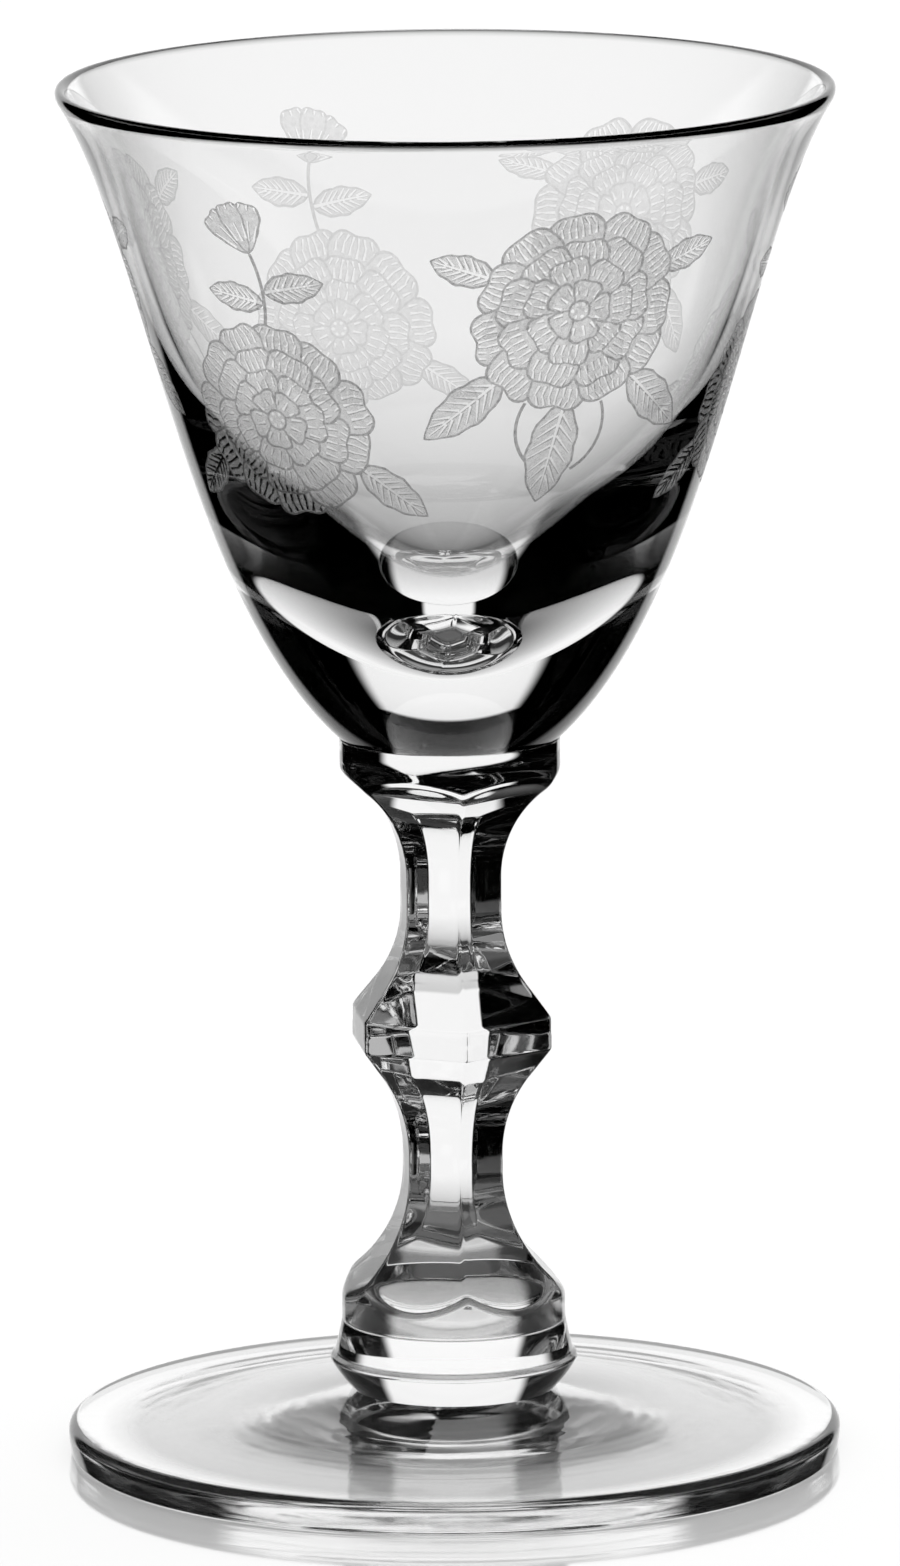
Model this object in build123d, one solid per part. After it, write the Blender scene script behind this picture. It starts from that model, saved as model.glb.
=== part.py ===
from build123d import *
import os
from math import cos, hypot, radians, sin, tan

# A stemmed cordial glass in millimetres, fused hot from four pieces: foot, merese, stem and bowl.
# +Z is up, and the origin is the centre of the plane that the foot rests on.
# Half sections are drawn as (radius, height) points and turned round the Z axis.

# Foot: a disc that rises to its middle in a hollow sweep and stands on a flat ring round a dome
FOOT_DIAMETER = 60.2
FOOT_EDGE_THICKNESS = 2.5
FOOT_CENTRE_THICKNESS = 5.0
FOOT_RISE_EDGE_ANGLE = -87.5
FOOT_RISE_EDGE_PULL = 9.0
FOOT_RISE_SEAT_ANGLE = -75.0
FOOT_RISE_SEAT_PULL = 5.0
FOOT_EDGE_DRAFT = 0.2
FOOT_DRAFT_HEIGHT = 1.4
FOOT_EDGE_ROUND = 0.8
FOOT_HEEL_ROUND = 0.3
REST_RING_WIDTH = 3.2
FOOT_HOLLOW_DEPTH = 1.7

# Merese: the button of glass between foot and stem, which swells to a thin flange
MERESE_HEIGHT = 5.4
MERESE_SEAT_DIAMETER = 15.8
MERESE_SEAT_ANGLE = 42.0
MERESE_SEAT_PULL = 1.1
MERESE_FLANGE_DIAMETER = 19.4
MERESE_FLANGE_HEIGHT = 2.45
MERESE_FLANGE_ANGLE = 28.0
MERESE_FLANGE_PULL = 1.2
MERESE_NECK_DIAMETER = 18.5
MERESE_NECK_HEIGHT = 2.85
MERESE_EDGE_ROUND = 0.3

# Stem: a round blank with six facets pressed into it, stacked from its lower collar upwards
STEM_FACETS = 6
LOWER_COLLAR_DIAMETER = 17.4
LOWER_COLLAR_HEIGHT = 2.25
LOWER_FLARE_HEIGHT = 9.6
LOWER_FLARE_ANGLE = 45.0
LOWER_NECK_ACROSS_FLATS = 7.34
LOWER_NECK_LENGTH = 1.4
LOWER_SHOULDER_HEIGHT = 8.7
LOWER_SHOULDER_ANGLE = 35.0
KNOP_ACROSS_FLATS = 14.62
KNOP_BAND_HEIGHT = 2.4
UPPER_SHOULDER_HEIGHT = 8.15
UPPER_SHOULDER_ANGLE = 36.0
UPPER_NECK_ACROSS_FLATS = 7.4
UPPER_NECK_LENGTH = 2.7
UPPER_FLARE_HEIGHT = 8.3
UPPER_FLARE_ANGLE = 58.0
UPPER_COLLAR_DIAMETER = 17.1
UPPER_COLLAR_HEIGHT = 2.6
JOINT_EDGE_ROUND = 0.3
CUTTER_CLEARANCE = 1.5

# Bowl: one flowing outer line from a heavy base to a rounded lip that turns out
BOWL_HEIGHT = 50.95
RIM_DIAMETER = 60.0
LIP_THICKNESS = 1.0
LIP_CREST = 1.2
LIP_ANGLE = 31.75
LIP_PULL = 12.7
BOWL_SEAT_INSET = 0.35
BOWL_BASE_ANGLE = 47.7
BOWL_BASE_PULL = 16.1
CAVITY_FLOOR_THICKNESS = 8.0
CAVITY_TIP_PULL = 5.8
CAVITY_SIDE_PULL = 6.1
CAVITY_SHOULDER_HEIGHT = 21.05
CAVITY_SHOULDER_WALL = 3.17
CAVITY_SHOULDER_ANGLE = 34.3
CAVITY_WALL_PULL = 9.7
CAVITY_LIP_PULL = 10.45

# Heights of the fused faces where one piece ends and the next begins
MERESE_BOTTOM = FOOT_CENTRE_THICKNESS
STEM_BOTTOM = MERESE_BOTTOM + MERESE_HEIGHT
LOWER_RUNOUT = STEM_BOTTOM + LOWER_COLLAR_HEIGHT
LOWER_NECK = LOWER_RUNOUT + LOWER_FLARE_HEIGHT
KNOP_BOTTOM = LOWER_NECK + LOWER_NECK_LENGTH + LOWER_SHOULDER_HEIGHT
KNOP_TOP = KNOP_BOTTOM + KNOP_BAND_HEIGHT
UPPER_NECK = KNOP_TOP + UPPER_SHOULDER_HEIGHT
UPPER_RUNOUT = UPPER_NECK + UPPER_NECK_LENGTH + UPPER_FLARE_HEIGHT
BOWL_BOTTOM = UPPER_RUNOUT + UPPER_COLLAR_HEIGHT
BOWL_TOP = BOWL_BOTTOM + BOWL_HEIGHT

DOWN = -1
UP = 1


def turned(*outline):
    """Turns a closed half section round the Z axis."""
    return revolve(Plane.XZ * make_face(outline), Axis.Z)


def steered(start, start_angle, start_pull, end, end_angle, end_pull):
    """A flowing line that leaves start and reaches end at angles from upright."""
    leave = Vector(sin(radians(start_angle)), cos(radians(start_angle)))
    reach = Vector(sin(radians(end_angle)), cos(radians(end_angle)))
    start = Vector(*start)
    end = Vector(*end)
    return Bezier(start, start + leave * start_pull, end - reach * end_pull, end)


def foot():
    rim = FOOT_DIAMETER / 2
    heel = rim - FOOT_EDGE_DRAFT
    ring_inside = heel - REST_RING_WIDTH
    edge_top = (rim, FOOT_EDGE_THICKNESS)
    seat_edge = (MERESE_SEAT_DIAMETER / 2, FOOT_CENTRE_THICKNESS)
    hollow_top = (0, FOOT_HOLLOW_DEPTH)
    edge = FilletPolyline(
        (ring_inside, 0),
        (heel, 0),
        (rim, FOOT_DRAFT_HEIGHT),
        edge_top,
        radius=[FOOT_HEEL_ROUND, 0],
    )
    rise = steered(
        edge_top, FOOT_RISE_EDGE_ANGLE, FOOT_RISE_EDGE_PULL,
        seat_edge, FOOT_RISE_SEAT_ANGLE, FOOT_RISE_SEAT_PULL)
    seat_and_axis = Polyline(seat_edge, (0, FOOT_CENTRE_THICKNESS), hollow_top)
    hollow = TangentArc(hollow_top, (ring_inside, 0), tangent=(1, 0))
    section = make_face([edge, rise, seat_and_axis, hollow])
    edge_corner = section.vertices().sort_by_distance((*edge_top, 0))[0]
    return revolve(Plane.XZ * fillet(edge_corner, FOOT_EDGE_ROUND), Axis.Z)


def merese():
    flange = (MERESE_FLANGE_DIAMETER / 2, MERESE_BOTTOM + MERESE_FLANGE_HEIGHT)
    seat_edge = (MERESE_SEAT_DIAMETER / 2, MERESE_BOTTOM)
    swell = steered(
        seat_edge, MERESE_SEAT_ANGLE, MERESE_SEAT_PULL,
        flange, MERESE_FLANGE_ANGLE, MERESE_FLANGE_PULL)
    upper = FilletPolyline(
        flange,
        (MERESE_NECK_DIAMETER / 2, MERESE_BOTTOM + MERESE_NECK_HEIGHT),
        (LOWER_COLLAR_DIAMETER / 2, STEM_BOTTOM),
        (0, STEM_BOTTOM),
        radius=[MERESE_EDGE_ROUND, JOINT_EDGE_ROUND],
    )
    axis_and_seat = Polyline((0, STEM_BOTTOM), (0, MERESE_BOTTOM), seat_edge)
    section = make_face([swell, upper, axis_and_seat])
    flange_corner = section.vertices().sort_by(Axis.X)[-1]
    return revolve(Plane.XZ * fillet(flange_corner, MERESE_EDGE_ROUND), Axis.Z)


def flare(neck_half, neck_height, rise, reach_half, angle, way):
    """Runs a facet's line from a neck out to a wider edge, way up or down.

    An arc leaves the neck upright and turns to the angle, and a straight tangent to it
    passes through the edge, which lies reach_half from the axis, rise away from the neck.
    """
    turn = radians(angle)
    bend = (rise - (reach_half - neck_half) / tan(turn)) / tan(turn / 2)
    arc = JernArc((neck_half, neck_height), (0, way), bend, -way * angle)
    return arc, Vector(sin(turn), way * cos(turn))


def facet_cutter(clear_half):
    """The waste outside one facet, from collar to collar and out past clear_half."""
    lower_half = LOWER_NECK_ACROSS_FLATS / 2
    upper_half = UPPER_NECK_ACROSS_FLATS / 2
    knop_half = KNOP_ACROSS_FLATS / 2
    lower_neck_top = LOWER_NECK + LOWER_NECK_LENGTH
    upper_neck_top = UPPER_NECK + UPPER_NECK_LENGTH
    lower_out, lower_way = flare(
        lower_half, LOWER_NECK, LOWER_FLARE_HEIGHT, LOWER_COLLAR_DIAMETER / 2, LOWER_FLARE_ANGLE, DOWN)
    lower_knop, _ = flare(
        lower_half, lower_neck_top, LOWER_SHOULDER_HEIGHT, knop_half, LOWER_SHOULDER_ANGLE, UP)
    upper_knop, _ = flare(
        upper_half, UPPER_NECK, UPPER_SHOULDER_HEIGHT, knop_half, UPPER_SHOULDER_ANGLE, DOWN)
    upper_out, upper_way = flare(
        upper_half, upper_neck_top, UPPER_FLARE_HEIGHT, UPPER_COLLAR_DIAMETER / 2, UPPER_FLARE_ANGLE, UP)
    lower_end = lower_out @ 1 + lower_way * ((clear_half - (lower_out @ 1).X) / lower_way.X)
    upper_end = upper_out @ 1 + upper_way * ((clear_half - (upper_out @ 1).X) / upper_way.X)
    outline = [
        Line(lower_end, lower_out @ 1),
        lower_out,
        Line((lower_half, LOWER_NECK), (lower_half, lower_neck_top)),
        lower_knop,
        Polyline(lower_knop @ 1, (knop_half, KNOP_BOTTOM), (knop_half, KNOP_TOP), upper_knop @ 1),
        upper_knop,
        Line((upper_half, UPPER_NECK), (upper_half, upper_neck_top)),
        upper_out,
        Polyline(upper_out @ 1, upper_end, lower_end),
    ]
    return extrude(Plane.XZ * make_face(outline), clear_half, both=True)


def stem_blank(knop_corner):
    """The round blank: a collar at each end and room for the knop between the necks."""
    outline = FilletPolyline(
        (0, STEM_BOTTOM),
        (LOWER_COLLAR_DIAMETER / 2, STEM_BOTTOM),
        (LOWER_COLLAR_DIAMETER / 2, LOWER_NECK),
        (knop_corner, LOWER_NECK),
        (knop_corner, UPPER_NECK),
        (UPPER_COLLAR_DIAMETER / 2, UPPER_NECK),
        (UPPER_COLLAR_DIAMETER / 2, BOWL_BOTTOM),
        (0, BOWL_BOTTOM),
        radius=[JOINT_EDGE_ROUND, 0, 0, 0, 0, JOINT_EDGE_ROUND],
    )
    return turned(outline, Line((0, BOWL_BOTTOM), (0, STEM_BOTTOM)))


def stem():
    knop_corner = KNOP_ACROSS_FLATS / 2 / cos(radians(180 / STEM_FACETS)) + CUTTER_CLEARANCE
    widest = max(knop_corner, LOWER_COLLAR_DIAMETER / 2, UPPER_COLLAR_DIAMETER / 2)
    cutter = facet_cutter(widest + CUTTER_CLEARANCE)
    facets = [cutter.rotate(Axis.Z, 360 / STEM_FACETS * side) for side in range(STEM_FACETS)]
    return stem_blank(knop_corner) - facets


def point_at_height(curve, height):
    """Finds the point of a rising curve at a height, by halving."""
    low = 0.0
    high = 1.0
    for _ in range(40):
        middle = (low + high) / 2
        if (curve @ middle).Y < height:
            low = middle
        else:
            high = middle
    return curve @ low, curve % low


def bowl():
    lip_half = LIP_THICKNESS / 2
    lean_across = cos(radians(LIP_ANGLE))
    lean_along = sin(radians(LIP_ANGLE))
    lip_out = hypot(lip_half * lean_across, LIP_CREST * lean_along)
    lip_up = hypot(lip_half * lean_along, LIP_CREST * lean_across)
    lip_centre = Vector(RIM_DIAMETER / 2 - lip_out, BOWL_TOP - lip_up)
    seat_radius = UPPER_COLLAR_DIAMETER / 2 - BOWL_SEAT_INSET
    floor_height = BOWL_BOTTOM + CAVITY_FLOOR_THICKNESS

    # The lip's crest is half of an ellipse, narrow across the wall and long along it
    lip = EllipticalCenterArc(lip_centre, lip_half, LIP_CREST, arc_size=180, rotation=-LIP_ANGLE)
    outside = steered(
        (seat_radius, BOWL_BOTTOM), BOWL_BASE_ANGLE, BOWL_BASE_PULL,
        lip @ 0, LIP_ANGLE, LIP_PULL)
    wall_point, wall_way = point_at_height(outside, BOWL_BOTTOM + CAVITY_SHOULDER_HEIGHT)
    shoulder = wall_point + Vector(-wall_way.Y, wall_way.X) * CAVITY_SHOULDER_WALL
    inner_wall = steered(
        shoulder, CAVITY_SHOULDER_ANGLE, CAVITY_WALL_PULL,
        lip @ 1, LIP_ANGLE, CAVITY_LIP_PULL)
    inner_base = steered(
        (0, floor_height), 90, CAVITY_TIP_PULL,
        shoulder, CAVITY_SHOULDER_ANGLE, CAVITY_SIDE_PULL)
    axis_and_seat = Polyline((0, floor_height), (0, BOWL_BOTTOM), (seat_radius, BOWL_BOTTOM))
    return turned(outside, lip, inner_wall, inner_base, axis_and_seat)


PIECES = {"foot": foot, "merese": merese, "stem": stem, "bowl": bowl}

os.makedirs("parts", exist_ok=True)
for node, make in PIECES.items():
    export_step(make(), f"parts/{node}.step")
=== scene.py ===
import math
import random

import bpy
import numpy as np
from mathutils import Matrix, Vector
from mathutils.geometry import delaunay_2d_cdt


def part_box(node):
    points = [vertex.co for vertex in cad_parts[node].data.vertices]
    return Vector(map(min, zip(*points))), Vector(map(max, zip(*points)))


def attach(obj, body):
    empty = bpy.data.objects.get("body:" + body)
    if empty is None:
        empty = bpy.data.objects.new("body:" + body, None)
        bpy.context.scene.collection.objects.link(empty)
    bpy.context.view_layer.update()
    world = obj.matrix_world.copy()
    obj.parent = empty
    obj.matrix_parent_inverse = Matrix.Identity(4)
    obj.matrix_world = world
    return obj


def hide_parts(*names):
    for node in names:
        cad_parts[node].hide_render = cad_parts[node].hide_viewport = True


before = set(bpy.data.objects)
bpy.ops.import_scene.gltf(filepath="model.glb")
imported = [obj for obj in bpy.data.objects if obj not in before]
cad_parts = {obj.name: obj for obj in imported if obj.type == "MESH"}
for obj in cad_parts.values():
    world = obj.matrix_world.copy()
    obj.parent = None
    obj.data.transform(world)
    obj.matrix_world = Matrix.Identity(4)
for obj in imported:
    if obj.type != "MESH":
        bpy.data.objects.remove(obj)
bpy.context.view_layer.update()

# A stemmed cordial glass of clear crystal. The frame is in metres, so millimetre sizes carry MM.
MM = 0.001
TINY = 1e-9

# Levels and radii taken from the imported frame
RIM_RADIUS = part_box("bowl")[1].x
BOWL_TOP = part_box("bowl")[1].z
BOWL_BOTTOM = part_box("bowl")[0].z
STEM_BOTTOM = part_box("stem")[0].z
MERESE_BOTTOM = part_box("merese")[0].z
FOOT_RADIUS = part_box("foot")[1].x

# Bowl
LIP_THICKNESS = 1.0 * MM
LIP_CREST = 0.8 * MM
LIP_ANGLE = math.radians(31.75)
LIP_PULL = 12.7 * MM
BOWL_SEAT_RADIUS = 8.5 * MM
BOWL_BASE_ANGLE = math.radians(47.7)
BOWL_BASE_PULL = 16.1 * MM
CAVITY_FLOOR = 8.0 * MM
CAVITY_TIP_PULL = 5.8 * MM
CAVITY_SIDE_PULL = 6.1 * MM
CAVITY_SHOULDER_HEIGHT = 21.05 * MM
CAVITY_SHOULDER_WALL = 3.17 * MM
CAVITY_SHOULDER_ANGLE = math.radians(34.3)
CAVITY_WALL_PULL = 9.7 * MM
CAVITY_LIP_PULL = 10.45 * MM
TIP_RIPPLE_HEIGHT = 0.0015 * MM
TIP_RIPPLE_FLOOR = CAVITY_FLOOR * 0.99
TIP_RIPPLE_START = 1.5 * MM
TIP_RIPPLE_REACH = 12 * MM

# Stem, stacked upwards from its lower collar
STEM_FACETS = 6
LOWER_COLLAR_RADIUS = 8.7 * MM
LOWER_COLLAR_HEIGHT = 2.25 * MM
LOWER_FLARE_HEIGHT = 9.6 * MM
LOWER_FLARE_ANGLE = math.radians(45)
LOWER_NECK_HALF = 3.67 * MM
LOWER_NECK_LENGTH = 1.4 * MM
LOWER_SHOULDER_HEIGHT = 8.7 * MM
LOWER_SHOULDER_ANGLE = math.radians(35)
KNOP_HALF = 7.31 * MM
KNOP_BAND_HEIGHT = 2.4 * MM
UPPER_SHOULDER_HEIGHT = 8.15 * MM
UPPER_SHOULDER_ANGLE = math.radians(36)
UPPER_NECK_HALF = 3.7 * MM
UPPER_NECK_LENGTH = 2.7 * MM
UPPER_FLARE_HEIGHT = 8.3 * MM
UPPER_FLARE_ANGLE = math.radians(58)
UPPER_COLLAR_RADIUS = 8.55 * MM
JOINT_EDGE_ROUND = 0.15 * MM
BOWL_JOINT_ROUND = 0.05 * MM
FACET_EDGE_SOFTNESS = 0.22 * MM
RUNOUT_EDGE_SOFTNESS = 0.65 * MM
# Runs of the facets from a neck: half width there, height, half width reached and angle from upright
LOWER_FLARE = (LOWER_NECK_HALF, LOWER_FLARE_HEIGHT, LOWER_COLLAR_RADIUS, LOWER_FLARE_ANGLE)
LOWER_SHOULDER = (LOWER_NECK_HALF, LOWER_SHOULDER_HEIGHT, KNOP_HALF, LOWER_SHOULDER_ANGLE)
UPPER_SHOULDER = (UPPER_NECK_HALF, UPPER_SHOULDER_HEIGHT, KNOP_HALF, UPPER_SHOULDER_ANGLE)
UPPER_FLARE = (UPPER_NECK_HALF, UPPER_FLARE_HEIGHT, UPPER_COLLAR_RADIUS, UPPER_FLARE_ANGLE)

# Merese and foot
MERESE_SEAT_RADIUS = 7.9 * MM
MERESE_SEAT_ANGLE = math.radians(42)
MERESE_SEAT_PULL = 1.1 * MM
MERESE_FLANGE_RADIUS = 9.7 * MM
MERESE_FLANGE_HEIGHT = 2.45 * MM
MERESE_FLANGE_ANGLE = math.radians(28)
MERESE_FLANGE_PULL = 1.2 * MM
MERESE_NECK_RADIUS = 9.25 * MM
MERESE_NECK_HEIGHT = 2.85 * MM
MERESE_EDGE_ROUND = 0.3 * MM
FOOT_EDGE_THICKNESS = 2.5 * MM
FOOT_RISE_EDGE_ANGLE = math.radians(-87.5)
FOOT_RISE_EDGE_PULL = 9.0 * MM
FOOT_RISE_SEAT_ANGLE = math.radians(-75)
FOOT_RISE_SEAT_PULL = 5.0 * MM
FOOT_EDGE_DRAFT = 0.2 * MM
FOOT_DRAFT_HEIGHT = 1.4 * MM
FOOT_EDGE_ROUND = 0.8 * MM
FOOT_HEEL_ROUND = 0.3 * MM
REST_RING_WIDTH = 3.2 * MM
FOOT_HOLLOW_DEPTH = 1.4 * MM
FOOT_RIPPLE_HEIGHT = 0.0035 * MM
FOOT_RIPPLE_GROWTH = 0.6
FOOT_RIPPLE_EDGE = 0.2
FOOT_RIPPLE_START = 1.5 * MM

# Waves in rings: share of the height, length in mm, phase and how far they follow the sway
TIP_RIPPLES = ((1.0, 1.9, 0.0, 1.0), (0.5, 1.1, 0.0, 2.0))
FOOT_RIPPLES = ((1.0, 3.7, 0.4, 1.2), (0.6, 2.1, 1.9, 1.7), (0.35, 1.2, 0.2, 2.4))
# Sways that bend the rings out of round: share, count in a turn and phase
TIP_SWAYS = ((0.5, 1, 0.4), (0.35, 3, 1.7))
FOOT_SWAYS = ((0.9, 1, 0.6), (0.5, 2, 2.1))

# Fineness of the meshes
SEGMENTS = 256
MEASURE_STEPS = 2000
BOWL_OUTSIDE_STEPS = 110
LIP_STEPS = 16
CAVITY_STEPS = 90
STEM_FACET_STEPS = 40
STEM_RING_GAP = 0.16 * MM
STEM_LOWER_MARGIN = 0.12 * MM
STEM_UPPER_MARGIN = 0.06 * MM
STEM_ROUND_STEPS = 6
MERESE_STEPS = 40
MERESE_TRIM = 6
MERESE_ROUND_STEPS = 8
FOOT_HOLLOW_RINGS = 40
FOOT_RISE_STEPS = 150
FOOT_TRIM = 8
FOOT_ROUND_STEPS = 10

# Camera, fitted to the photograph's 900 by 1566 frame
IMAGE_HEIGHT_PX = 1566
FOCAL_PX = 15735
CAMERA_DISTANCE = 1.197
CAMERA_HEIGHT = 0.284
CAMERA_PITCH = math.radians(10.934)
CAMERA_AZIMUTH = math.radians(-7.5)
CAMERA_ROLL = math.radians(-0.4)
SENSOR = 36.0


# Outlines

def steered(start, start_angle, start_pull, end, end_angle, end_pull, steps):
    """Points on a flowing line that leaves start and reaches end at angles from upright."""
    start = np.array(start)
    end = np.array(end)
    leave = np.array((math.sin(start_angle), math.cos(start_angle)))
    reach = np.array((math.sin(end_angle), math.cos(end_angle)))
    t = np.linspace(0, 1, steps + 1)[:, None]
    s = 1 - t
    first = start + leave * start_pull
    second = end - reach * end_pull
    return s ** 3 * start + 3 * s * s * t * first + 3 * s * t * t * second + t ** 3 * end


def rounded(points, radii, steps):
    """A polyline of (radius, height) corners, each rounded by an arc of its radius."""
    corners = [np.array(p, float) for p in points]
    line = [corners[0]]
    for before, corner, after, radius in zip(corners, corners[1:], corners[2:], radii):
        if radius == 0:
            line.append(corner)
            continue
        back = (before - corner) / np.linalg.norm(before - corner)
        on = (after - corner) / np.linalg.norm(after - corner)
        half = math.acos(float(np.clip(back @ on, -1, 1))) / 2
        centre = corner + (back + on) / np.linalg.norm(back + on) * radius / math.sin(half)
        start = corner + back * radius / math.tan(half) - centre
        end = corner + on * radius / math.tan(half) - centre
        sweep = math.pi - 2 * half
        for k in range(steps + 1):
            share = k / steps
            a = math.sin((1 - share) * sweep) / math.sin(sweep)
            b = math.sin(share * sweep) / math.sin(sweep)
            line.append(centre + start * a + end * b)
    line.append(corners[-1])
    return line


def lip_frame():
    """Centre of the lip's crest, the way across the wall and the way along it."""
    half = LIP_THICKNESS / 2
    out = math.hypot(half * math.cos(LIP_ANGLE), LIP_CREST * math.sin(LIP_ANGLE))
    up = math.hypot(half * math.sin(LIP_ANGLE), LIP_CREST * math.cos(LIP_ANGLE))
    centre = np.array((RIM_RADIUS - out, BOWL_TOP - up))
    across = np.array((math.cos(LIP_ANGLE), -math.sin(LIP_ANGLE)))
    along = np.array((math.sin(LIP_ANGLE), math.cos(LIP_ANGLE)))
    return centre, across * half, along * LIP_CREST


def bowl_outside(steps):
    """The outer wall from the joint up to the lip."""
    centre, across, _ = lip_frame()
    return steered((BOWL_SEAT_RADIUS, BOWL_BOTTOM), BOWL_BASE_ANGLE, BOWL_BASE_PULL,
                   centre + across, LIP_ANGLE, LIP_PULL, steps)


def bowl_lip(steps):
    """The crest: half of an ellipse across the wall's thickness."""
    centre, across, along = lip_frame()
    turn = np.linspace(0, math.pi, steps + 1)[:, None]
    return centre + np.cos(turn) * across + np.sin(turn) * along


def bowl_inside(steps):
    """The cavity from the lip down to its tip on the axis."""
    outside = bowl_outside(MEASURE_STEPS)
    at = int(np.searchsorted(outside[:, 1], BOWL_BOTTOM + CAVITY_SHOULDER_HEIGHT))
    way = outside[at + 1] - outside[at - 1]
    way = way / np.linalg.norm(way)
    shoulder = outside[at] + np.array((-way[1], way[0])) * CAVITY_SHOULDER_WALL
    lip_end = bowl_lip(2)[-1]
    wall = steered(shoulder, CAVITY_SHOULDER_ANGLE, CAVITY_WALL_PULL,
                   lip_end, LIP_ANGLE, CAVITY_LIP_PULL, steps)
    base = steered((0, BOWL_BOTTOM + CAVITY_FLOOR), math.pi / 2, CAVITY_TIP_PULL,
                   shoulder, CAVITY_SHOULDER_ANGLE, CAVITY_SIDE_PULL, steps)
    return np.vstack((wall[::-1], base[::-1][1:]))


# Meshes

def new_object(name, data):
    thing = bpy.data.objects.new(name, data)
    bpy.context.scene.collection.objects.link(thing)
    return thing


def mesh_object(name, vertices, faces, materials, face_slots):
    mesh = bpy.data.meshes.new(name)
    mesh.from_pydata(vertices, [], faces)
    mesh.update()
    for material in materials:
        mesh.materials.append(material)
    mesh.polygons.foreach_set("material_index", face_slots)
    mesh.polygons.foreach_set("use_smooth", [True] * len(mesh.polygons))
    mesh.update()
    return new_object(name, mesh)


def skinned(rings):
    """Faces that join each ring of corners to the next, and the band that each face lies in."""
    faces = []
    bands = []
    for band, (low, high) in enumerate(zip(rings, rings[1:])):
        count = max(len(low), len(high))
        for k in range(count):
            n = (k + 1) % count
            if len(low) == 1:
                faces.append((low[0], high[n], high[k]))
            elif len(high) == 1:
                faces.append((low[k], low[n], high[0]))
            else:
                faces.append((low[k], low[n], high[n], high[k]))
            bands.append(band)
    return faces, bands


def lathe(name, profile, materials, slot_of, sharp=(), uneven=None):
    """Turns (radius, height) points into a closed mesh.

    slot_of gives the slot of each band, and uneven(radius, height, turn) a small shift of height.
    """
    vertices = []
    rings = []
    for r, z in profile:
        if r < TINY:
            rings.append([len(vertices)])
            vertices.append((0.0, 0.0, z))
            continue
        start = len(vertices)
        for k in range(SEGMENTS):
            turn = 2 * math.pi * k / SEGMENTS
            rise = uneven(r, z, turn) if uneven else 0.0
            vertices.append((r * math.cos(turn), r * math.sin(turn), z + rise))
        rings.append(list(range(start, start + SEGMENTS)))
    faces, bands = skinned(rings)
    piece = mesh_object(name, vertices, faces, materials, [slot_of(band) for band in bands])
    crease(piece, [rings[i] for i in sharp])
    return piece


def crease(piece, rings):
    """Marks the edges of whole rings as sharp."""
    marked = {v: n for n, ring in enumerate(rings) for v in ring}
    for edge in piece.data.edges:
        a, b = edge.vertices
        if a in marked and marked.get(b) == marked[a]:
            edge.use_edge_sharp = True


# Nodes

WHITE = (1, 1, 1, 1)


def grey(level):
    return (level, level, level, 1)


def new_material(name):
    """A new material, its node tree and its main shader."""
    material = bpy.data.materials.new(name)
    material.use_nodes = True
    tree = material.node_tree
    return material, tree, tree.nodes["Principled BSDF"]


def feed(tree, socket, value):
    """Sets a socket to a number, or links an output to it."""
    if isinstance(value, (int, float)):
        socket.default_value = value
    else:
        tree.links.new(value, socket)


def node_math(tree, operation, a, b=None, c=None):
    node = tree.nodes.new("ShaderNodeMath")
    node.operation = operation
    for socket, value in zip(node.inputs, (a, b, c)):
        if value is not None:
            feed(tree, socket, value)
    return node.outputs[0]


def blend_values(tree, factor, a, b):
    node = tree.nodes.new("ShaderNodeMix")
    node.data_type = "FLOAT"
    for socket, value in ((node.inputs[0], factor), (node.inputs[2], a), (node.inputs[3], b)):
        feed(tree, socket, value)
    return node.outputs[0]


def map_range(tree, value, low, high, start=0.0, end=1.0, smooth=False):
    """Carries a value from the span low to high over to the span start to end, and no further."""
    node = tree.nodes.new("ShaderNodeMapRange")
    if smooth:
        node.interpolation_type = "SMOOTHSTEP"
    tree.links.new(value, node.inputs["Value"])
    for socket, number in (("From Min", low), ("From Max", high), ("To Min", start), ("To Max", end)):
        node.inputs[socket].default_value = number
    return node.outputs[0]


def smooth_step(tree, value, low, high):
    return map_range(tree, value, low, high, smooth=True)


def noise(tree, scale, detail):
    """A noise that stays fixed to the object."""
    coords = tree.nodes.new("ShaderNodeTexCoord")
    node = tree.nodes.new("ShaderNodeTexNoise")
    node.inputs["Scale"].default_value = scale
    node.inputs["Detail"].default_value = detail
    tree.links.new(coords.outputs["Object"], node.inputs["Vector"])
    return node.outputs[0]


def add_bump(tree, shader, height, strength, distance):
    bump = tree.nodes.new("ShaderNodeBump")
    bump.inputs["Strength"].default_value = strength
    bump.inputs["Distance"].default_value = distance
    tree.links.new(height, bump.inputs["Height"])
    tree.links.new(bump.outputs[0], shader.inputs["Normal"])


def show_mix(tree, factor, first, second):
    """Sends a mix of two shaders to the surface."""
    mix = tree.nodes.new("ShaderNodeMixShader")
    tree.links.new(factor, mix.inputs[0])
    tree.links.new(first.outputs[0], mix.inputs[1])
    tree.links.new(second.outputs[0], mix.inputs[2])
    tree.links.new(mix.outputs[0], tree.nodes["Material Output"].inputs["Surface"])


# Materials

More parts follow.
